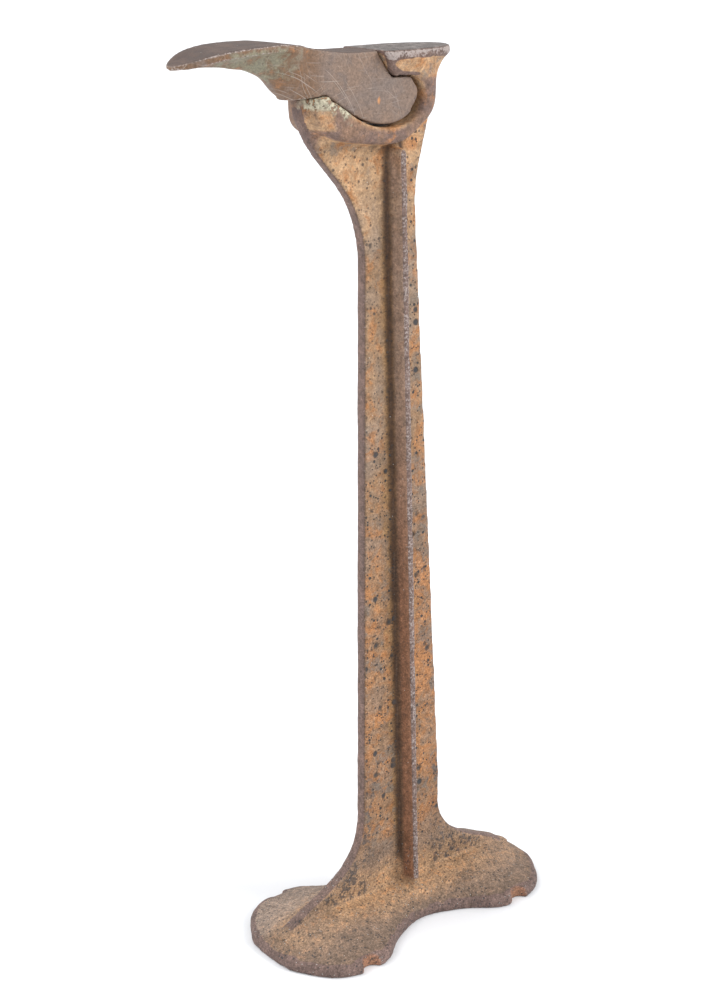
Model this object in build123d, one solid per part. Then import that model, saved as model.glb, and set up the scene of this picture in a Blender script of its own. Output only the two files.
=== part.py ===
from build123d import *
import os

# Cobbler's shoe anvil: a cast-iron stand that holds one removable shoe last.
# X runs from the toe of the last (-X) to the heel plate (+X) and Z is up. The origin is at the
# middle of the foot, on the floor. Both castings are symmetric about the plane Y = 0.
# Lengths are in millimetres.

# Whole object
HEIGHT = 610.0  # floor to the top of the heel plate

# Foot: a bow-tie plan with two broad lobes, hollow underneath
FOOT_LENGTH = 232.0
FOOT_LOBE_WIDTH = 114.0
FOOT_WAIST_WIDTH = 58.5
FOOT_EDGE_TOP = 8.0  # top of the rounded edge
FOOT_SPINE_TOP = 21.0  # height of the lobes beside the main plate
FOOT_WALL = 7.0
NOTCH_RADIUS = 7.0
NOTCH_X = 70.0
NOTCH_Y = 58.0

# Column: a tapered cross of a main plate and a rib
PLATE_THICKNESS = 9.5
RIB_TIP = 5.0  # thickness at the tips
RIB_ROOT = 11.8  # thickness at the centre line
RIB_OFFSET = 1.2  # from the middle of the plate towards the heel side
RIB_DEPTH = 35.0  # tip to tip across Y
COLUMN_LEFT = -34.8
COLUMN_RIGHT_LOW = 37.2
COLUMN_RIGHT_HIGH = 7.2
COLUMN_LOW_Z = 73.0
COLUMN_HIGH_Z = 516.0
RIB_FILLET = 4.5
PLATE_EDGE_FILLET = 3.2
RIB_EDGE_FILLET = 1.8

# Head: the socket's thick rim, and the heel plate on top of it
RIM_THICKNESS = 36.0
HEAD_LEFT = -85.0
HEAD_RIGHT = 21.4
LIP_X = -73.5  # where the sloping shoulder ends and the round seat starts
LIP_Z = 585.5
SHOULDER_SLOPE = 0.11  # rise towards the lip
SEAT_GAP = 0.4
HEEL_PLATE_EDGE = 5.5
HEEL_HALF_WIDTH = 22.0
HEEL_BREAST_X = -33.0
HEEL_BACK_X = 34.0

# Shoe last
WEB_THICKNESS = 30.0
WEB_LEFT = -97.0
LAST_EDGE = 4.6  # thickness of the toe plate at its rim

HALF_RIM = RIM_THICKNESS / 2


def upright(*curves):
    """Face in the XZ plane from curves drawn as (x, z)."""
    return Plane.XZ * make_face(Curve() + list(curves))


def right_edge(z):
    """X of the column's tapering heel-side edge at a height."""
    run = (z - COLUMN_LOW_Z) / (COLUMN_HIGH_Z - COLUMN_LOW_Z)
    return COLUMN_RIGHT_LOW + (COLUMN_RIGHT_HIGH - COLUMN_RIGHT_LOW) * run


def quartered(points, z):
    """Closed face at a height, mirrored in X and Y from one quarter of its outline."""
    quarter = Spline(*points, tangents=((1, 0), (0, -1)))
    half = Curve() + [quarter, mirror(quarter, Plane.XZ)]
    return Pos(0, 0, z) * make_face(Curve() + [half, mirror(half, Plane.YZ)])


def foot_outline(inset, z):
    """Plan of the foot, drawn in by an even inset."""
    end = FOOT_LENGTH / 2
    lobe = FOOT_LOBE_WIDTH / 2
    points = [
        (0, FOOT_WAIST_WIDTH / 2),
        (21, 34.6),
        (38, 43.8),
        (50, 53.0),
        (62, lobe),
        (83, 55.0),
        (98, 46.4),
        (110.4, 29.0),
        (end, 0),
    ]
    drawn = [(x * (1 - inset / end), y * (1 - inset / lobe)) for x, y in points]
    return quartered(drawn, z)


def spine_outline(half_length, half_width, z):
    """Long narrow plan that the foot's top rises to beside the main plate."""
    points = [(0, half_width), (half_length * 0.45, half_width), (half_length, 0)]
    return quartered(points, z)


def foot():
    """Domed bow-tie foot, hollow below, with four screw notches."""
    shell = loft(
        [foot_outline(0, 0), foot_outline(0, 5.0), foot_outline(2.2, FOOT_EDGE_TOP)], ruled=True
    )
    dome = loft(
        [foot_outline(2.2, FOOT_EDGE_TOP), spine_outline(86, 9, FOOT_SPINE_TOP)], ruled=True
    )
    hollow = loft(
        [foot_outline(FOOT_WALL, -1), foot_outline(FOOT_WALL + 3, 2.5), spine_outline(80, 5, 11)],
        ruled=True,
    )
    body = shell + dome - hollow
    for side_x in (-1, 1):
        for side_y in (-1, 1):
            body -= Pos(side_x * NOTCH_X, side_y * NOTCH_Y, 0) * Cylinder(NOTCH_RADIUS, 60)
    return body


def shoulder(x):
    """Height of the sloping shoulder at a place along X."""
    return LIP_Z + SHOULDER_SLOPE * (x - LIP_X)


def rib_section():
    """Both halves of the rib, tapered towards their tips."""
    tip = RIB_TIP / 2
    reach = RIB_DEPTH / 2
    half = Polyline((RIB_ROOT / 2, 0), (tip, reach), (-tip, reach), (-RIB_ROOT / 2, 0))
    return Pos(RIB_OFFSET, 0) * make_face(Curve() + [half, mirror(half, Plane.XZ)])


def column_section(z):
    """Cross-shaped section with coves between the plate and the rib."""
    right = right_edge(z)
    width = right - COLUMN_LEFT
    cross = Rectangle(width, PLATE_THICKNESS) + rib_section()
    inner = [v for v in cross.vertices() if abs(v.X) < RIB_ROOT and abs(v.Y) < RIB_DEPTH / 3]
    cross = fillet(inner, RIB_FILLET)
    plate_corners = [v for v in cross.vertices() if abs(abs(v.X) - width / 2) < 0.01]
    cross = fillet(plate_corners, PLATE_EDGE_FILLET)
    rib_corners = [v for v in cross.vertices() if abs(abs(v.Y) - RIB_DEPTH / 2) < 0.01]
    cross = fillet(rib_corners, RIB_EDGE_FILLET)
    return Pos((right + COLUMN_LEFT) / 2, 0, z) * cross


def column():
    """Tapered cross from inside the foot's dome up to the socket's rim."""
    return loft([column_section(12), column_section(550)], ruled=True)


def main_plate():
    """Plate on the centre line: the fins on the foot, the column's web and the flared head."""
    fin = [(-109, 14), (-91, 23.2), (-76, 30.0), (-62, 37.3), (-46, 49.6), (-38, 63)]
    left = Curve() + [
        Spline(*fin, (COLUMN_LEFT, 100), tangents=((1, 0.4), (0, 1))),
        Line((COLUMN_LEFT, 100), (COLUMN_LEFT, 478)),
        Spline(
            (COLUMN_LEFT, 478), (-38.2, 500), (-49.6, 523.5), (-64.4, 540.5), (-77.4, 557),
            (-83.4, 570), (HEAD_LEFT, 582),
            tangents=((0, 1), (-0.1, 1)),
        ),
    ]
    low = (right_edge(100), 100)
    high = (right_edge(500), 500)
    right = Curve() + [
        Spline(
            high, (8.9, 529), (13.4, 548), (17.4, 564), (20.8, 578), (HEAD_RIGHT, 590),
            tangents=((-0.068, 1), (0, 1)),
        ),
        Line(low, high),
        Spline(low, *[(-x, z) for x, z in reversed(fin)], tangents=((0.068, -1), (1, -0.4))),
    ]
    close = Polyline((109, 14), (109, 13), (-109, 13), (-109, 14))
    top = Line((HEAD_RIGHT, 590), (HEAD_LEFT, 582))
    plate = extrude(upright(left, right, close, top), PLATE_THICKNESS / 2, both=True)
    return plate


def socket_wall():
    """Inside of the socket from the lip, round the bottom, to under the hook, as (x, z)."""
    lip = (LIP_X, LIP_Z)
    under_hook = (-10.0, 594.0)
    return Curve() + [
        Spline(
            lip, (-60, 576.4), (-44.6, 567.5), (-23, 563), (-4.5, 567), (3.9, 579), (-1.6, 591.2),
            under_hook,
            tangents=((1, -0.65), (-1, 0.05)),
        ),
        Line(under_hook, (-20.6, 594.0)),
    ]


def socket():
    """Opening for the last: the round seat, the hook over it and all space over the shoulder."""
    open_side = Polyline(
        (-20.6, 594.0), (-24.9, 598.2), (HEEL_BREAST_X, HEIGHT), (HEEL_BREAST_X, HEIGHT + 20),
        (-130, HEIGHT + 20), (-130, shoulder(-130)), (LIP_X, LIP_Z),
    )
    return extrude(upright(socket_wall(), open_side), 60, both=True)


def rim():
    """Thick rim round the socket, with rounded ends in plan."""
    outline = Spline(
        (HEAD_LEFT, 586), (-84.2, 577), (-80.0, 568), (-67, 559.4), (-50, 555.6), (-35, 553.2),
        (-21, 552.4), (-10, 554.5), (-0.5, 560), (9, 567), (16.5, 576.5), (20.6, 585),
        (HEAD_RIGHT, 592),
        tangents=((0.05, -1), (0.05, 1)),
    )
    top = Polyline((HEAD_RIGHT, 592), (HEAD_RIGHT, 594), (HEAD_LEFT, 594), (HEAD_LEFT, 586))
    body = extrude(upright(outline, top), HALF_RIM, both=True)
    toe_centre = HEAD_LEFT + 12
    heel_centre = HEAD_RIGHT - HALF_RIM
    toe_end = Pos(toe_centre, 0) * Ellipse(toe_centre - HEAD_LEFT, HALF_RIM)
    heel_end = Pos(heel_centre, 0) * Circle(HALF_RIM)
    middle_length = heel_centre - toe_centre
    middle = Pos(toe_centre + middle_length / 2, 0) * Rectangle(middle_length, RIM_THICKNESS)
    plan = Pos(0, 0, 540) * extrude(toe_end + heel_end + middle, 60)
    return body & plan


def heel_plan(back, half_width, roundness, z):
    """D-shaped plan with its straight breast to the toe side and a half-elliptical back."""
    breast = HEEL_BREAST_X - 6
    centre = back - roundness
    sides = Pos((breast + centre) / 2, 0) * Rectangle(centre - breast, 2 * half_width)
    return Pos(0, 0, z) * (sides + Pos(centre, 0) * Ellipse(roundness, half_width))


def heel():
    """Neck that flares out from the rim, and the flat heel plate on it."""
    under = HEIGHT - HEEL_PLATE_EDGE
    neck = loft(
        [
            heel_plan(HEAD_RIGHT, HALF_RIM, HALF_RIM, 590),
            heel_plan(HEAD_RIGHT + 1.5, HALF_RIM, HALF_RIM + 1, 596),
            heel_plan(HEAD_RIGHT + 6.0, HALF_RIM + 0.8, HALF_RIM + 7, 600.5),
            heel_plan(HEEL_BACK_X - 1.2, HEEL_HALF_WIDTH - 0.8, 36, under + 0.5),
        ],
        ruled=True,
    )
    plate = extrude(heel_plan(HEEL_BACK_X, HEEL_HALF_WIDTH, 41, under), HEEL_PLATE_EDGE)
    plate = fillet(plate.faces().sort_by(Axis.Z)[-1].edges(), 1.4)
    return neck + plate


def stand():
    """The one-piece stand casting."""
    body = foot() + column() + main_plate() + rim() + heel()
    return body - socket()


def toe_section(x, half_width, top, keel_half_width, bottom):
    """Section of the last across Y: flat plate over a rounded keel with hollow flanks."""
    edge_low = top - min(LAST_EDGE, (top - bottom) * 0.8)
    outline = [Line((-half_width, top), (half_width, top))]
    for side in (1, -1):
        outline.append(Line((side * half_width, top), (side * half_width, edge_low)))
        outline.append(
            Bezier(
                (side * half_width, edge_low),
                (side * keel_half_width * 0.9, edge_low),
                (side * keel_half_width * 1.3, bottom),
                (0, bottom),
            )
        )
    section = Plane((x, 0, 0), x_dir=(0, 1, 0), z_dir=(1, 0, 0))
    return section * make_face(Curve() + outline)


def toe():
    """Sole-shaped toe plate whose underside gathers into the web."""
    stations = [
        (-174.5, 3.0, 607.8, 1.0, 605.4),
        (-171.5, 7.5, 609.4, 2.5, 605.4),
        (-166.5, 11.8, 611.0, 3.5, 605.5),
        (-159.0, 16.2, 613.2, 4.0, 605.6),
        (-149.0, 19.8, 615.4, 4.0, 605.6),
        (-138.0, 22.0, 616.8, 4.0, 604.6),
        (-128.5, 22.6, 617.4, 5.0, 603.2),
        (-119.5, 21.9, 617.7, 6.5, 601.1),
        (-112.5, 20.8, 617.8, 8.0, 598.2),
        (-106.5, 19.5, 617.7, 10.0, 593.9),
        (-101.5, 18.3, 617.3, 11.5, 588.6),
        (-96.5, 17.2, 616.7, 13.0, 585.4),
        (-88.0, 15.6, 615.0, 14.8, 587.0),
    ]
    return loft([toe_section(*station) for station in stations])


def web():
    """Web of the last: its foot fills the socket, with a nose under the hook."""
    prow = 23
    straight = 80
    corner = (WEB_LEFT, shoulder(WEB_LEFT) + SEAT_GAP)
    lip = (LIP_X + 0.5, LIP_Z + SEAT_GAP)
    seat = Spline(
        lip, (-60, 577.4), (-44.8, 569.2), (-26, 565.0), (-11.2, 568.0), (-6.4, 571.0),
        tangents=((1, -0.65), (1, 0.8)),
    )
    nose = Spline(
        (-5.4, 574.2), (-1.4, 579.6), (-1.1, 585.4), (-4.8, 590.6), (-11.0, 593.2),
        tangents=((1, 0.9), (-1, 0.1)),
    )
    top = Spline((-33.6, HEIGHT), (-54, HEIGHT), (-89, 615.2), tangents=((-1, 0), (-1, 0.2)))
    outline = Curve() + [
        Polyline((-101, 590.0), (-101, 587.6), corner, lip),
        seat,
        Line((-6.4, 571.0), (-5.4, 574.2)),
        nose,
        Polyline((-11.0, 593.2), (-21.2, 593.3), (-25.6, 598.0), (-33.6, HEIGHT)),
        top,
        Polyline((-89, 615.2), (-101, 612.2), (-101, 590.0)),
    ]
    slab = extrude(upright(outline), WEB_THICKNESS / 2, both=True)
    prow_end = WEB_LEFT + prow
    plan = Pos(prow_end, 0) * Ellipse(prow, WEB_THICKNESS / 2)
    plan += Pos(prow_end + straight / 2, 0) * Rectangle(straight, WEB_THICKNESS)
    return slab & (Pos(0, 0, 550) * extrude(plan, 80))


def shoe_last():
    """The one-piece removable last."""
    return toe() + web()


os.makedirs("parts", exist_ok=True)
export_step(stand(), "parts/stand.step")
export_step(shoe_last(), "parts/shoe_last.step")
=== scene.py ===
"""Looks of the cobbler's stand and its last: cast surfaces, rusted iron, studio light and camera."""

import math
from types import SimpleNamespace

import bpy
import numpy as np
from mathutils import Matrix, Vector
from mathutils.kdtree import KDTree


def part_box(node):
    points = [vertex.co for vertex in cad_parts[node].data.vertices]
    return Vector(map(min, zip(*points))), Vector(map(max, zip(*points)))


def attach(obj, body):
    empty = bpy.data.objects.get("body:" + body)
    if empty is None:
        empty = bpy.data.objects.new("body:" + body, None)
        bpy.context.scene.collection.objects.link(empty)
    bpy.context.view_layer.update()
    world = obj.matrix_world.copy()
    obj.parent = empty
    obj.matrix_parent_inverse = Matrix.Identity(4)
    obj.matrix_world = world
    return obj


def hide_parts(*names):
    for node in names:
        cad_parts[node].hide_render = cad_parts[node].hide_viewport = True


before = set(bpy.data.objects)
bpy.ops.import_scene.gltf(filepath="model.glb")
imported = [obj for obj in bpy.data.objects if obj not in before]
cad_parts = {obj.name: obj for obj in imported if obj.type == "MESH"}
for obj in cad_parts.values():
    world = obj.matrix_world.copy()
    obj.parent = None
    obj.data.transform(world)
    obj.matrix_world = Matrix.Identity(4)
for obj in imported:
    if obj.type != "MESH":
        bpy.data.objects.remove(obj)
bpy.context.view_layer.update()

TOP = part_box("stand")[1].z

# Places on the castings, in metres.
SHOULDER_Z = 0.5855
SEAT_SLOPE = 0.63
LIP_X = -0.0735
NOTCH_X = 0.070
NOTCH_Y = 0.058
WEB_HALF = 0.015
NICK_PLACE = (-0.0325, -WEB_HALF, 0.5800)
NICK_SIZE = (0.0011, 0.002, 0.0026)

# The coves follow the rib: midway between them is RIB_X at the height RIB_Z, and it moves to -X by
# RIB_LEAN of any further rise. Each is centred CORNER_X from there and CORNER_Y from the middle of
# the main plate.
RIB_X = 0.0028
RIB_Z = 0.073
RIB_LEAN = 0.0339
CORNER_X = 0.0053
CORNER_Y = 0.0052

# Fineness of each mesh, and how near the other casting its surface counts as part of the seat.
STAND_VOXEL = 0.0013
STAND_REACH = 0.006
LAST_VOXEL = 0.0008
LAST_REACH = 0.003

# Depth of the pits, height of the highest lump, and how far the last's surface is moved inwards.
PIT_DEPTH = 0.0009
HIGHEST_LUMP = 0.00035
LAST_INSET = 0.00012


def camera():
    """Long-lens view from in front of the toe, a little above the head and looking down."""
    data = bpy.data.cameras.new("camera")
    data.lens = 65.0
    data.sensor_width = 36.0
    data.clip_end = 20.0
    view = bpy.data.objects.new("camera", data)
    view.location = (-0.7512, -0.8726, 0.7121)
    forward = Vector((0.5978, 0.7310, -0.3290))
    view.rotation_euler = forward.to_track_quat("-Z", "Y").to_euler()
    bpy.context.scene.collection.objects.link(view)
    bpy.context.scene.camera = view


# ---------------------------------------------------------------- mesh tools


def arrays(mesh):
    """Vertex places and normals, and the vertex pair of every edge."""
    count = len(mesh.vertices)
    places = np.empty(count * 3, np.float32)
    normals = np.empty(count * 3, np.float32)
    pairs = np.empty(len(mesh.edges) * 2, np.int32)
    mesh.vertices.foreach_get("co", places)
    mesh.vertices.foreach_get("normal", normals)
    mesh.edges.foreach_get("vertices", pairs)
    return (
        places.reshape(-1, 3).astype(float),
        normals.reshape(-1, 3).astype(float),
        pairs.reshape(-1, 2),
    )


def neighbour_mean(values, pairs):
    """Mean of each vertex's neighbours, for a value or a vector per vertex."""
    count = len(values)
    a, b = pairs[:, 0], pairs[:, 1]
    degree = np.bincount(a, minlength=count) + np.bincount(b, minlength=count)
    columns = values.reshape(count, -1)
    total = np.empty_like(columns)
    for i in range(columns.shape[1]):
        total[:, i] = np.bincount(b, columns[a, i], count) + np.bincount(a, columns[b, i], count)
    return (total / np.maximum(degree, 1)[:, None]).reshape(values.shape)


def put_back(mesh, places):
    mesh.vertices.foreach_set("co", places.astype(np.float32).ravel())
    mesh.update()


def fresh_normals(mesh, places):
    put_back(mesh, places)
    return arrays(mesh)[1]


def soften(mesh, coves, edges, free):
    """Fills hollow corners and rounds sharp edges, by so many rounds of each, where it is free to."""
    places, normals, pairs = arrays(mesh)
    for step in range(max(coves, edges)):
        pull = neighbour_mean(places, pairs) - places
        outward = (pull * normals).sum(1)
        weight = np.zeros(len(places))
        if step < coves:
            weight = np.where(outward > 0, free, weight)
        if step < edges:
            weight = np.where(outward <= 0, free, weight)
        places += 0.5 * pull * weight[:, None]
        if step % 5 == 4:
            normals = fresh_normals(mesh, places)
    put_back(mesh, places)


def hashed(cell, seed):
    """Even random number from 0 to 1 for each whole-number cell of a grid."""
    x, y, z = (cell[:, i].astype(np.int64) for i in range(3))
    mixed = (x * 73856093) ^ (y * 19349663) ^ (z * 83492791) ^ (seed * 2654435761)
    mixed = (mixed ^ (mixed >> 13)) * 1274126177
    return ((mixed ^ (mixed >> 16)) & 0xFFFF) / 65535.0


def noise(places, size, seed):
    """Smooth noise from -1 to 1 with features of about one size, in metres."""
    spot = places / size
    base = np.floor(spot).astype(np.int64)
    part = spot - base
    part = part * part * (3 - 2 * part)
    total = np.zeros(len(places))
    for dx in (0, 1):
        for dy in (0, 1):
            for dz in (0, 1):
                weight = np.ones(len(places))
                for axis, d in enumerate((dx, dy, dz)):
                    weight *= part[:, axis] if d else 1 - part[:, axis]
                total += weight * hashed(base + np.array((dx, dy, dz)), seed)
    return total * 2 - 1


def pits(places, spacing, radius, seed, share):
    """Depth from 0 to 1 of round pits scattered on a jittered grid, in a share of its cells."""
    base = np.floor(places / spacing).astype(np.int64)
    depth = np.zeros(len(places))
    for dx in (-1, 0, 1):
        for dy in (-1, 0, 1):
            for dz in (-1, 0, 1):
                cell = base + np.array((dx, dy, dz))
                jitter = np.stack([hashed(cell, seed + i) for i in range(3)], 1)
                size = radius * (0.5 + 0.8 * hashed(cell, seed + 3))
                there = hashed(cell, seed + 4) < share
                gap = np.linalg.norm(places - (cell + jitter) * spacing, axis=1) / size
                depth = np.maximum(depth, np.where(there, np.clip(1 - gap * gap, 0, 1), 0))
    return depth


def ramp(value, low, high):
    """Smooth step from 0 at low to 1 at high."""
    t = np.clip((value - low) / (high - low), 0, 1)
    return t * t * (3 - 2 * t)


def store(mesh, name, values):
    """Keeps one number per vertex for the materials."""
    layer = mesh.attributes.new(name, "FLOAT", "POINT")
    layer.data.foreach_set("value", values.astype(np.float32))


def relief(mesh, rounds):
    """How far each vertex stands out of its surroundings, in metres: edges over 0, corners under."""
    places, normals, pairs = arrays(mesh)
    smooth = places.copy()
    for _ in range(rounds):
        smooth += 0.5 * (neighbour_mean(smooth, pairs) - smooth)
    return ((places - smooth) * normals).sum(1)


def remeshed(name, node, voxel):
    """New object with the node's shape as an even fine mesh."""
    piece = bpy.data.objects.new(name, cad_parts[node].data.copy())
    bpy.context.scene.collection.objects.link(piece)
    piece.data.materials.clear()
    grid = piece.modifiers.new("grid", "REMESH")
    grid.mode = "VOXEL"
    grid.voxel_size = voxel
    grid.use_smooth_shade = True
    graph = bpy.context.evaluated_depsgraph_get()
    even = bpy.data.meshes.new_from_object(piece.evaluated_get(graph))
    piece.modifiers.clear()
    piece.data = even
    even.name = name
    return piece


def smooth_shaded(mesh):
    mesh.polygons.foreach_set("use_smooth", [True] * len(mesh.polygons))


def nearness(places, others, reach):
    """1 for a place beside the other piece, falling to 0 at a reach from it."""
    tree = KDTree(len(others))
    for i, place in enumerate(others):
        tree.insert(place, i)
    tree.balance()
    gaps = np.array([tree.find(place)[2] for place in places])
    return 1 - ramp(gaps, 0.4 * reach, reach)


def node_places(node):
    return [v.co.copy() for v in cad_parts[node].data.vertices]


def band(value, low, high, soft):
    """1 between two limits, fading to 0 over a soft distance outside them."""
    return ramp(value, low - soft, low) * (1 - ramp(value, high, high + soft))


def round_stand(mesh):
    """Rounds edges and fills corners, but not in the seat; returns how near the seat is."""
    places = arrays(mesh)[0]
    seat = nearness(places, last_surface, STAND_REACH)
    head = band(places[:, 2], 0.540, 0.600, 0.008)
    rim = band(places[:, 2], 0.550, 0.594, 0.005) * (np.abs(places[:, 1]) > 0.008)
    soften(mesh, coves=16, edges=7, free=1 - seat)
    soften(mesh, coves=40, edges=0, free=head * (1 - seat))
    soften(mesh, coves=0, edges=26, free=rim * (1 - seat))
    return seat


class StandZones:
    """Places and normals of the smooth stand, and each part of it as a number from 0 to 1."""

    def __init__(self, places, normals, seat):
        self.places, self.normals, self.seat = places, normals, seat
        self.x, self.y, self.z = places.T
        x, y, z = places.T
        self.top = ramp(z, TOP - 0.0016, TOP - 0.0006) * ramp(normals[:, 2], 0.7, 0.95)
        self.panel = ramp(np.abs(normals[:, 1]), 0.75, 0.95) * (np.abs(y) < 0.0075)
        self.column = band(z, 0.07, 0.54, 0.03)
        self.heel_panel = ramp(x, -0.004, 0.004) * self.panel
        toe_panel = (1 - ramp(x, -0.012, -0.006)) * self.panel
        self.rough = np.clip(band(z, 0.09, 0.33, 0.05) * (toe_panel + self.heel_panel), 0, 1)
        self.turned = 1 - ramp(np.abs(normals[:, 1]), 0.55, 0.85)
        self.rib_run = band(z, 0.028, 0.551, 0.004)
        self.rib_front = ramp(np.abs(y), 0.0150, 0.0160) * self.rib_run * (1 - self.turned)


def roughen_stand(mesh, at):
    """Lumps and pits of the casting; returns how deep each vertex lies in a pit, from 0 to 1."""
    places, z = at.places, at.z
    ground = 1 - ramp(z, 0.001, 0.004)
    lumps = 0.00025 * noise(places, 0.014, 1) + 0.00018 * noise(places, 0.006, 2)
    lumps += 0.00012 * noise(places, 0.0032, 3)
    lumps += (1 - ramp(z, 0.03, 0.07)) * 0.00022 * noise(places, 0.0042, 6)
    lumps += at.rough * (0.00040 * noise(places, 0.0055, 4) + 0.00026 * noise(places, 0.003, 5))
    dents = pits(places, 0.009, 0.0021, 20, 0.32) * at.rough
    dents = np.maximum(dents, pits(places, 0.016, 0.0023, 40, 0.22) * at.panel * at.column)
    dents = np.maximum(dents, pits(places, 0.016, 0.0017, 60, 0.2) * (1 - at.seat) * 0.5)
    lumps -= PIT_DEPTH * dents
    lumps *= (1 - 0.75 * at.top) * (1 - ground) * (1 - 0.8 * at.seat)
    lumps = np.minimum(lumps, HIGHEST_LUMP)
    put_back(mesh, places + at.normals * lumps[:, None])
    return dents


def mark_edges(mesh, at, stands_out, sharp):
    """Edges and tips that stand proud, sharp edges, seams and hollows."""
    strip = at.turned * (np.abs(at.y) < 0.0056) * band(at.z, 0.018, 0.575, 0.006)
    strip *= 1 - ramp(np.abs(at.x), 0.090, 0.110)
    ends = ramp(stands_out, 0.0003, 0.0012) * (1 - band(at.z, 0.0115, 0.592, 0.003))
    seam = 4 * at.turned * (1 - at.turned) * (np.abs(at.y) < 0.0065) * at.column
    store(mesh, "proud", np.maximum(np.maximum(strip, at.rib_front), ends))
    store(mesh, "seam", seam)
    store(mesh, "edge", ramp(sharp, 0.0002, 0.0007))
    store(mesh, "hollow", ramp(-stands_out, 0.0001, 0.0009))


def mark_crease_shade_and_dirt(mesh, at, sharp):
    """Painted shade and dirt in the coves between the rib and the panels, and painted shade in the
    corner under the rim.
    """
    rib_x = RIB_X - RIB_LEAN * (at.z - RIB_Z)
    from_corner = np.hypot(np.abs(at.x - rib_x) - CORNER_X, np.abs(at.y) - CORNER_Y)
    from_corner += 0.0005 * noise(at.places, 0.012, 90)
    # Painted shade and dirt in the coves beside the rib, where the rib keeps the light off.
    cove = 1 - ramp(from_corner, 0.0014, 0.0058)
    cove *= ramp(at.z, 0.030, 0.046) * (1 - ramp(at.z, 0.552, 0.560))
    # Painted shade in the corner under the rim, deeper towards the heel side.
    under_rim = ramp(-sharp, 0.00016, 0.0006) * band(at.z, 0.53, 0.592, 0.006)
    under_rim *= 0.25 + 0.75 * ramp(at.x, -0.050, -0.025)
    store(mesh, "crease_shade_and_dirt", np.maximum(cove, under_rim))


def mark_head(mesh, at):
    """The rim's face with its pale patch, the heel plate, worn edges and the old paint."""
    x, y, z = at.x, at.y, at.z
    rim_side = np.maximum(ramp(np.abs(y), 0.010, 0.014), 1 - ramp(x, -0.075, -0.070))
    rim_face = band(z, 0.552, 0.590, 0.003) * rim_side
    pale = band(x, -0.083, -0.068, 0.004) * band(z, 0.566, 0.5775, 0.002) * (y < 0)
    rim_face *= 1 - 0.9 * pale * ramp(noise(at.places, 0.006, 84), -0.6, 0.0)
    plate_side = band(z, 0.6045, TOP - 0.0012, 0.0008) * (1 - ramp(at.normals[:, 2], 0.5, 0.8))
    below_lip = SHOULDER_Z - np.clip(x - LIP_X, 0, 1) * SEAT_SLOPE - z
    splash = band(below_lip, 0.0005, 0.0072, 0.0012) * band(x, -0.0835, -0.0575, 0.002)
    ragged = noise(at.places, 0.006, 82) + 0.8 * noise(at.places, 0.0028, 83)
    store(mesh, "rim", rim_face * (1 - at.seat))
    store(mesh, "worn", np.maximum(plate_side, 0.5 * at.rib_front))
    store(mesh, "top", at.top)
    store(mesh, "paint", splash * (y < 0) * ramp(ragged, -0.75, -0.55))


def mark_foot(mesh, at):
    """Gold beside the column, the dark brink, painted light on one lobe, the notches and the fins."""
    x, y, z = at.x, at.y, at.z
    shore = (1 - ramp(np.abs(y), 0.010, 0.034)) * (1 - ramp(z, 0.03, 0.05))
    # Painted light: the back lobe at the toe end is made paler, as if light from behind falls on it.
    lit_lobe = ramp(y, 0.006, 0.018) * (1 - ramp(x, -0.05, -0.02)) * (1 - ramp(z, 0.02, 0.03))
    from_notch = np.hypot(np.abs(x) - NOTCH_X, np.abs(y) - NOTCH_Y)
    fin = (1 - ramp(z, 0.09, 0.15)) * at.panel * ramp(np.abs(x), 0.018, 0.036)
    store(mesh, "shore", shore * (1 - 0.6 * ramp(np.abs(x), 0.045, 0.09)))
    store(mesh, "brink", 1 - ramp(z, 0.0085, 0.0150))
    store(mesh, "lit_lobe", lit_lobe)
    store(mesh, "notch", 1 - ramp(from_notch, 0.0072, 0.0084))
    store(mesh, "fin", fin)


def mark_column(mesh, at, dents):
    """The column's lower part, rib and heel side, its pits, and how spotted the rust is."""
    rib = ramp(np.abs(at.y), 0.0065, 0.0095) * ramp(np.abs(at.normals[:, 0]), 0.3, 0.8) * at.rib_run
    spotty = 0.12 + 0.4 * at.panel * at.column + 0.6 * at.rough + 0.5 * at.heel_panel
    store(mesh, "low", 1 - ramp(at.z, 0.22, 0.42))
    store(mesh, "rib", rib)
    store(mesh, "heel_side", np.clip(ramp(at.x, 0.0, 0.01) + ramp(at.z, 0.5, 0.56), 0, 1))
    store(mesh, "pit", np.clip(dents * 1.6 - 0.35, 0, 1))
    store(mesh, "spotty", np.clip(spotty, 0, 1) * (1 - at.top))


def stand_casting():
    """Rounded, pitted and marked mesh of the stand."""
    piece = remeshed("stand_casting", "stand", STAND_VOXEL)
    mesh = piece.data
    seat = round_stand(mesh)
    places, normals, _ = arrays(mesh)
    at = StandZones(places, normals, seat)
    dents = roughen_stand(mesh, at)
    stands_out = relief(mesh, 60)
    sharp = relief(mesh, 18)
    mark_edges(mesh, at, stands_out, sharp)
    mark_crease_shade_and_dirt(mesh, at, sharp)
    mark_head(mesh, at)
    mark_foot(mesh, at)
    mark_column(mesh, at, dents)
    smooth_shaded(mesh)
    return piece


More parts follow.
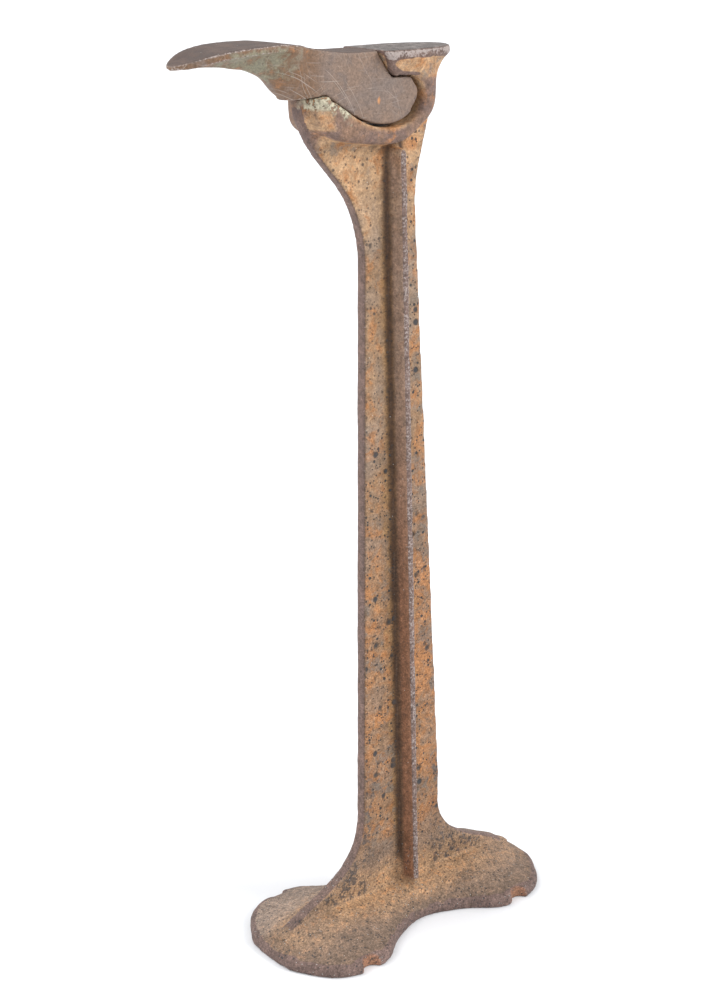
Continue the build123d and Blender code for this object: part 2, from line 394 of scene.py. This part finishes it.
def last_casting():
    """Rounded and marked mesh of the last."""
    piece = remeshed("last_casting", "shoe_last", LAST_VOXEL)
    mesh = piece.data
    seat = nearness(arrays(mesh)[0], stand_surface, LAST_REACH)
    soften(mesh, coves=70, edges=5, free=1 - seat)

    places, normals, _ = arrays(mesh)
    x, _, z = places.T
    upper = ramp(normals[:, 2], 0.6, 0.9)
    bulge = 0.00016 * noise(places, 0.016, 5) + 0.00008 * noise(places, 0.006, 6)
    bulge *= 1 - 0.7 * seat
    put_back(mesh, places + normals * (bulge - LAST_INSET)[:, None])
    sharp = relief(mesh, 14)
    forward = 1 - ramp(x, -0.088, -0.070)
    below = 1 - ramp(normals[:, 2], 0.2, 0.6)
    gap = np.linalg.norm((places - np.array(NICK_PLACE)) / np.array(NICK_SIZE), axis=1)
    store(mesh, "edge", ramp(sharp, 0.0001, 0.0004) * (0.35 + 0.65 * forward))
    store(mesh, "top", upper * ramp(z, 0.600, 0.606))
    store(mesh, "warm", forward * below)
    store(mesh, "green", band(x, -0.134, -0.112, 0.028) * band(z, 0.598, 0.6125, 0.006) * below)
    store(mesh, "nick", 1 - ramp(gap, 0.6, 1.0))
    smooth_shaded(mesh)
    return piece


# ---------------------------------------------------------------- materials


class Shades:
    """Builds one procedural material out of a few kinds of node."""

    def __init__(self, name):
        self.material = bpy.data.materials.new(name)
        self.material.use_nodes = True
        self.tree = self.material.node_tree
        self.shader = self.tree.nodes["Principled BSDF"]
        self.place = self.node("ShaderNodeTexCoord").outputs["Object"]
        split = self.node("ShaderNodeSeparateXYZ")
        self.link(self.place, split.inputs[0])
        self.x, self.y, self.z = split.outputs

    def node(self, kind, **settings):
        made = self.tree.nodes.new(kind)
        for key, value in settings.items():
            setattr(made, key, value)
        return made

    def link(self, value, socket):
        if isinstance(value, bpy.types.NodeSocket):
            self.tree.links.new(value, socket)
        elif isinstance(value, tuple) and len(value) == 3 and socket.type == "RGBA":
            socket.default_value = (*value, 1)
        else:
            socket.default_value = value

    def noise(self, scale, detail=3.0, rough=0.55, warp=0.0, at=None):
        """Noise from 0 to 1, with about so many features in a metre."""
        made = self.node("ShaderNodeTexNoise")
        made.inputs["Scale"].default_value = scale
        made.inputs["Detail"].default_value = detail
        made.inputs["Roughness"].default_value = rough
        made.inputs["Distortion"].default_value = warp
        self.link(at or self.place, made.inputs["Vector"])
        return made.outputs["Fac"]

    def cells(self, scale):
        """Distance to the nearest of about so many points in a metre, and a random number each."""
        made = self.node("ShaderNodeTexVoronoi")
        made.inputs["Scale"].default_value = scale
        self.link(self.place, made.inputs["Vector"])
        split = self.node("ShaderNodeSeparateColor")
        self.link(made.outputs["Color"], split.inputs["Color"])
        return made.outputs["Distance"], split.outputs["Red"]

    def spots(self, scale, size, share):
        """Round spots: size is their radius in cells, and share is the part of cells with one."""
        gap, random = self.cells(scale)
        return self.times(self.step(gap, size, size * 0.55), self.step(random, 1 - share, 1.02 - share))

    def arcs(self, centre, across, along, low, high):
        """Thin scratches that run round a centre in the XZ plane, short ones where along is large."""
        moved = self.node("ShaderNodeMapping")
        moved.inputs["Location"].default_value = (-centre[0], 0, -centre[1])
        moved.inputs["Scale"].default_value = (1, 0, 1)
        self.link(self.place, moved.inputs["Vector"])
        length = self.node("ShaderNodeVectorMath", operation="LENGTH")
        self.link(moved.outputs["Vector"], length.inputs[0])
        spot = self.node("ShaderNodeCombineXYZ")
        self.link(self.maths("MULTIPLY", length.outputs["Value"], across), spot.inputs[0])
        self.link(self.maths("MULTIPLY", self.x, along), spot.inputs[1])
        return self.step(self.noise(1.0, 1.0, 0.4, at=spot.outputs[0]), low, high)

    def maths(self, kind, a, b=0.0):
        made = self.node("ShaderNodeMath", operation=kind)
        self.link(a, made.inputs[0])
        self.link(b, made.inputs[1])
        return made.outputs[0]

    def step(self, value, low, high, top=1.0):
        """Smooth step from 0 at low to top at high, where high may be the lower one."""
        made = self.node("ShaderNodeMapRange", interpolation_type="SMOOTHSTEP")
        self.link(value, made.inputs["Value"])
        if low < high:
            limits = (low, high, 0.0, top)
        else:
            limits = (high, low, top, 0.0)
        for name, number in zip(("From Min", "From Max", "To Min", "To Max"), limits):
            made.inputs[name].default_value = number
        return made.outputs["Result"]

    def times(self, *values):
        result = values[0]
        for value in values[1:]:
            result = self.maths("MULTIPLY", result, value)
        return result

    def plus(self, *values):
        result = values[0]
        for value in values[1:]:
            result = self.maths("ADD", result, value)
        return result

    def most(self, *values):
        result = values[0]
        for value in values[1:]:
            result = self.maths("MAXIMUM", result, value)
        return result

    def kept(self, name):
        """A number stored on the vertices."""
        made = self.node("ShaderNodeAttribute", attribute_name=name)
        return made.outputs["Fac"]

    def mix(self, share, low, high, kind="MIX"):
        made = self.node("ShaderNodeMix", data_type="RGBA", blend_type=kind)
        self.link(share, made.inputs[0])
        self.link(low, made.inputs[6])
        self.link(high, made.inputs[7])
        return made.outputs[2]

    def grey(self, value):
        made = self.node("ShaderNodeCombineColor")
        for i in range(3):
            self.link(value, made.inputs[i])
        return made.outputs["Color"]

    def mottled(self, colour, value, low, high):
        """Colour made darker or lighter between two factors by a noise."""
        factor = self.node("ShaderNodeMapRange")
        self.link(value, factor.inputs["Value"])
        factor.inputs["From Min"].default_value = 0.32
        factor.inputs["From Max"].default_value = 0.68
        factor.inputs["To Min"].default_value = low
        factor.inputs["To Max"].default_value = high
        return self.mix(1.0, colour, self.grey(factor.outputs["Result"]), "MULTIPLY")

    def finish(self, colour, rough, height, depth):
        self.link(colour, self.shader.inputs["Base Color"])
        self.link(rough, self.shader.inputs["Roughness"])
        bump = self.node("ShaderNodeBump")
        bump.inputs["Strength"].default_value = 1.0
        bump.inputs["Distance"].default_value = depth
        self.link(height, bump.inputs["Height"])
        self.link(bump.outputs["Normal"], self.shader.inputs["Normal"])
        return self.material


GREY_TAN = (0.30, 0.222, 0.165)
TAN = (0.30, 0.185, 0.105)
GOLD = (0.34, 0.195, 0.085)
PALE_GOLD = (0.47, 0.295, 0.165)
LOW_TAN = (0.255, 0.14, 0.075)
ORANGE = (0.38, 0.165, 0.06)
DARK_BROWN = (0.095, 0.058, 0.038)
# Colour of the painted shade and dirt in the creases.
CREASE_SHADE_AND_DIRT = (0.046, 0.020, 0.009)
RED_BROWN = (0.215, 0.095, 0.048)
RIB_BROWN = (0.24, 0.155, 0.11)
PURPLE_BROWN = (0.15, 0.098, 0.084)
SLATE = (0.135, 0.118, 0.102)
FOOT_BROWN = (0.195, 0.136, 0.100)
FOOT_GOLD = (0.38, 0.232, 0.130)
BRINK_BROWN = (0.135, 0.092, 0.068)
# Pale grey of the painted light on one lobe of the foot.
LIT_LOBE_GREY = (0.31, 0.240, 0.195)
NOTCH_RED = (0.31, 0.14, 0.075)
FIN_BLACK = (0.06, 0.052, 0.05)
RIM_BROWN = (0.235, 0.14, 0.095)
WORN_GREY = (0.42, 0.36, 0.335)
BLUE_BLACK = (0.035, 0.042, 0.05)
WHITE_SPECK = (0.62, 0.60, 0.57)
CREAM = (0.47, 0.425, 0.31)
POLISHED_DARK = (0.095, 0.078, 0.071)
POLISHED_LIGHT = (0.175, 0.147, 0.136)
WEB_GREY = (0.175, 0.130, 0.108)
WEB_BROWN = (0.205, 0.135, 0.096)
WEB_DULL = (0.135, 0.105, 0.095)
WARM_BROWN = (0.165, 0.09, 0.047)
PATINA_GREEN = (0.22, 0.215, 0.145)
SOLE_DARK = (0.060, 0.036, 0.028)
SOLE_LIGHT = (0.098, 0.058, 0.042)
NICK_ORANGE = (0.55, 0.25, 0.10)
SCRATCH_GREY = (0.46, 0.39, 0.34)


def rust_coats(s, n, foot):
    """Tan rust with orange and gold in it, pale on the head."""
    low = s.kept("low")
    head = s.step(s.z, 0.47, 0.54)
    colour = s.mix(s.step(n.broad, 0.38, 0.62), GREY_TAN, TAN)
    colour = s.mix(s.times(low, 0.6), colour, LOW_TAN)
    colour = s.mix(s.times(head, s.step(n.patch, 0.20, 0.48)), colour, PALE_GOLD)
    rusty = s.plus(
        n.patch,
        s.times(s.kept("heel_side"), 0.06),
        s.times(low, 0.05),
        s.times(foot, -0.12),
    )
    colour = s.mix(s.step(rusty, 0.49, 0.70, 0.85), colour, ORANGE)
    below_head = s.maths("SUBTRACT", 1.0, head)
    golden = s.times(s.kept("hollow"), s.step(n.blotch, 0.25, 0.55, 0.9), below_head)
    return s.mix(golden, colour, GOLD)


def foot_coats(s, n, foot, colour):
    """The foot's brown, with gold beside the column, a dark brink and painted light on one lobe."""
    shore = s.kept("shore")
    uneven = s.times(s.maths("SUBTRACT", n.cloudy, 0.5), 1.2)
    bare = s.mix(s.plus(shore, uneven), FOOT_BROWN, FOOT_GOLD)
    colour = s.mix(s.times(foot, s.step(n.patch, 0.22, 0.45, 0.9)), colour, bare)
    brink = s.times(s.kept("brink"), s.step(n.cloudy, 0.3, 0.6, 0.7))
    colour = s.mix(brink, colour, BRINK_BROWN)
    # Painted light paling one lobe of the foot.
    lit_lobe = s.times(s.kept("lit_lobe"), s.step(n.blotch, 0.2, 0.5, 0.55))
    colour = s.mix(lit_lobe, colour, LIT_LOBE_GREY)
    streaks = s.times(foot, s.plus(shore, 0.15), s.step(n.blotch, 0.50, 0.64, 0.45))
    return s.mix(streaks, colour, ORANGE)


def dark_coats(s, n, foot, colour):
    """Slate patches on the column, the browns of the rib, the rim and the fins, and painted shade and
    dirt in the creases.
    """
    low = s.kept("low")
    rib = s.kept("rib")
    slate = s.times(
        s.step(s.noise(60, 5, 0.65), 0.53, 0.62),
        s.most(s.kept("heel_side"), low),
        s.maths("SUBTRACT", 1.0, foot),
    )
    colour = s.mix(s.times(slate, s.step(n.blotch, 0.3, 0.55, 0.7)), colour, SLATE)
    colour = s.mix(s.times(rib, s.step(n.broad, 0.2, 0.5, 0.95)), colour, RIB_BROWN)
    colour = s.mix(s.times(rib, low, 0.85), colour, RED_BROWN)
    rim_colour = s.mix(s.step(n.cloudy, 0.40, 0.58), RIM_BROWN, PURPLE_BROWN)
    rim_colour = s.mix(s.step(n.patch, 0.54, 0.68, 0.6), rim_colour, ORANGE)
    colour = s.mix(s.times(s.kept("rim"), 0.92), colour, rim_colour)
    # Painted shade and dirt darken the creases.
    colour = s.mix(s.times(s.kept("crease_shade_and_dirt"), 0.95), colour, CREASE_SHADE_AND_DIRT)
    mottles = s.step(s.plus(n.blotch, s.times(n.patch, 0.8)), 0.86, 1.0, 0.88)
    return s.mix(s.times(s.kept("fin"), mottles), colour, FIN_BLACK)


def rubbed_coats(s, n, colour):
    """Purple brown where it stands proud, dark seams, red notches and the polished top."""
    uneven = s.times(s.maths("SUBTRACT", n.patch, 0.5), 0.5)
    proud = s.plus(s.kept("proud"), uneven)
    colour = s.mix(s.step(proud, 0.30, 0.60, 0.93), colour, PURPLE_BROWN)
    colour = s.mix(s.times(s.kept("seam"), 0.6), colour, DARK_BROWN)
    notch = s.times(s.kept("notch"), s.step(n.blotch, 0.3, 0.5, 0.7))
    colour = s.mix(notch, colour, NOTCH_RED)
    polished = s.mix(s.step(n.blotch, 0.32, 0.68), POLISHED_DARK, POLISHED_LIGHT)
    return s.mix(s.kept("top"), colour, polished)


def grained(s, n, foot, colour):
    """The colour broken up coarse to fine, grittier low down, and bright on rubbed edges."""
    colour = s.mottled(colour, n.cloudy, 0.84, 1.16)
    colour = s.mottled(colour, n.blotch, 0.68, 1.28)
    colour = s.mottled(colour, n.grain, 0.70, 1.30)
    colour = s.mottled(colour, n.fine, 0.82, 1.18)
    gritty = s.mottled(colour, s.noise(900, 3, 0.7), 0.56, 1.44)
    colour = s.mix(s.plus(foot, s.times(s.kept("low"), 0.8)), colour, gritty)
    rubbed = s.plus(s.times(s.kept("edge"), 0.30), s.times(s.kept("worn"), 0.28), n.grain)
    return s.mix(s.step(rubbed, 0.88, 1.06, 0.75), colour, WORN_GREY)


def pitted(s, foot, colour):
    """Adds dark pits with brown rings, and pale specks; returns the pits as well."""
    pit = s.kept("pit")
    spotty = s.kept("spotty")
    large = s.times(s.spots(120, 0.33, 0.10), spotty)
    small = s.times(s.spots(300, 0.36, 0.16), spotty)
    tiny = s.times(s.spots(560, 0.40, 0.20), s.plus(spotty, 0.3))
    crumbs = s.times(foot, s.spots(480, 0.40, 0.22))
    dark = s.most(large, small, pit, s.times(s.most(tiny, crumbs), 0.8))
    ring = s.step(s.most(pit, large, small), 0.02, 0.3, 0.5)
    colour = s.mix(ring, colour, DARK_BROWN)
    colour = s.mix(s.times(dark, 0.88), colour, BLUE_BLACK)
    specks = s.most(s.spots(420, 0.15, 0.05), s.times(foot, s.spots(560, 0.20, 0.16)))
    return s.mix(s.times(specks, 0.8), colour, WHITE_SPECK), dark


def stand_iron():
    """Cast iron under tan and orange rust, dark and worn where it stands proud."""
    s = Shades("stand_iron")
    n = SimpleNamespace(
        broad=s.noise(24, 3),
        cloudy=s.noise(48, 4, 0.6, warp=0.3),
        patch=s.noise(95, 6, 0.68, warp=0.5),
        blotch=s.noise(240, 5, 0.65, warp=0.3),
        grain=s.noise(640, 4, 0.7),
        fine=s.noise(1700, 2),
    )
    foot = s.step(s.z, 0.075, 0.035)
    colour = rust_coats(s, n, foot)
    colour = foot_coats(s, n, foot, colour)
    colour = dark_coats(s, n, foot, colour)
    colour = rubbed_coats(s, n, colour)
    colour = grained(s, n, foot, colour)
    colour, dark = pitted(s, foot, colour)
    flaky = s.times(s.kept("paint"), s.step(s.noise(420, 3, 0.6), 0.40, 0.46))
    colour = s.mix(flaky, colour, s.mottled(CREAM, s.noise(500, 3), 0.62, 1.25))

    rough = s.plus(0.50, s.times(n.grain, 0.3), s.times(s.kept("top"), -0.15))
    height = s.plus(s.times(n.grain, 0.45), s.times(n.blotch, 0.8), s.times(n.fine, 0.12))
    height = s.plus(height, s.times(dark, -0.7), s.times(flaky, 0.7))
    s.shader.inputs["Specular IOR Level"].default_value = 0.3
    return s.finish(colour, rough, height, 0.0009)


def last_iron():
    """Rubbed dark iron, warm brown and green under the sole, grey where it is worn."""
    s = Shades("last_iron")
    broad = s.noise(32, 3)
    patch = s.noise(110, 5, 0.62, warp=0.4)
    grain = s.noise(700, 4, 0.7)
    fine = s.noise(1800, 2)
    top = s.kept("top")
    green = s.kept("green")
    warm = s.kept("warm")
    nick = s.kept("nick")

    colour = s.mix(s.step(broad, 0.35, 0.65), WEB_GREY, WEB_BROWN)
    colour = s.mix(s.step(patch, 0.50, 0.66, 0.5), colour, WEB_DULL)
    colour = s.mix(s.times(warm, s.step(patch, 0.25, 0.55)), colour, WARM_BROWN)
    colour = s.mix(s.times(warm, s.step(patch, 0.56, 0.7), 0.7), colour, ORANGE)
    uneven = s.step(patch, 0.34, 0.66)
    patina = s.step(s.maths("SUBTRACT", green, uneven), -0.25, 0.75, 0.75)
    colour = s.mix(s.times(patina, s.step(green, 0.0, 0.2)), colour, PATINA_GREEN)
    sole = s.mix(s.step(patch, 0.34, 0.68), SOLE_DARK, SOLE_LIGHT)
    colour = s.mix(top, colour, sole)
    colour = s.mottled(colour, grain, 0.68, 1.32)
    colour = s.mottled(colour, fine, 0.88, 1.12)
    bright = s.step(s.plus(s.times(s.kept("edge"), 0.5), grain), 0.92, 1.10, 0.8)
    colour = s.mix(bright, colour, WORN_GREY)
    colour = s.mix(nick, colour, NICK_ORANGE)

    rub = s.most(
        s.arcs((-0.040, 0.520), 1500, 22, 0.67, 0.74),
        s.arcs((-0.120, 0.540), 1300, 26, 0.67, 0.74),
        s.arcs((0.020, 0.640), 1400, 30, 0.68, 0.75),
        s.arcs((-0.060, 0.900), 1200, 34, 0.68, 0.75),
    )
    scratch = s.times(rub, s.step(broad, 0.30, 0.55), s.maths("SUBTRACT", 1.0, top))
    colour = s.mix(s.times(scratch, 0.5), colour, SCRATCH_GREY)
    specks = s.times(s.spots(420, 0.17, 0.09), s.plus(top, 0.1))
    colour = s.mix(s.times(specks, 0.8), colour, WHITE_SPECK)
    pores = s.spots(520, 0.36, 0.10)
    colour = s.mix(s.times(pores, 0.6), colour, DARK_BROWN)

    rough = s.plus(0.42, s.times(grain, 0.28))
    height = s.plus(s.times(grain, 0.45), s.times(patch, 0.5), s.times(pores, -0.4))
    height = s.plus(height, s.times(scratch, -0.2), s.times(nick, -1.0))
    s.shader.inputs["Specular IOR Level"].default_value = 0.45
    return s.finish(colour, rough, height, 0.0004)


def plain(name, colour):
    material = bpy.data.materials.new(name)
    material.use_nodes = True
    shader = material.node_tree.nodes["Principled BSDF"]
    shader.inputs["Base Color"].default_value = (*colour, 1)
    shader.inputs["Roughness"].default_value = 0.6
    return material


def floor():
    bpy.ops.mesh.primitive_plane_add(size=60, location=(0, 0, 0))
    ground = bpy.context.object
    ground.name = "floor"
    ground.data.materials.append(plain("floor", (0.82, 0.83, 0.85)))


def sun(name, towards, strength, angle):
    """Wide soft sun that shines from a direction."""
    data = bpy.data.lights.new(name, "SUN")
    data.energy = strength
    data.angle = math.radians(angle)
    lamp = bpy.data.objects.new(name, data)
    lamp.rotation_euler = Vector(towards).to_track_quat("Z", "Y").to_euler()
    bpy.context.scene.collection.objects.link(lamp)


def lights():
    world = bpy.data.worlds.new("studio")
    bpy.context.scene.world = world
    world.use_nodes = True
    background = world.node_tree.nodes["Background"]
    background.inputs["Color"].default_value = (0.98, 0.99, 1, 1)
    background.inputs["Strength"].default_value = 0.8
    sun("key", (0.8, -1.0, 0.9), 2.0, 26)
    sun("fill", (-1.0, -0.6, 0.5), 0.5, 60)
    sun("top", (-0.6, 0.7, 0.9), 1.8, 60)


camera()
lights()
floor()
bpy.context.scene.view_settings.view_transform = "Standard"

last_surface = node_places("shoe_last")
stand_surface = node_places("stand")
stand = stand_casting()
last = last_casting()
stand.data.materials.append(stand_iron())
last.data.materials.append(last_iron())
for piece, node, body, slot in (
    (stand, "stand", "stand", "stand_iron"),
    (last, "shoe_last", "last", "last_iron"),
):
    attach(piece, body)
    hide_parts(node)
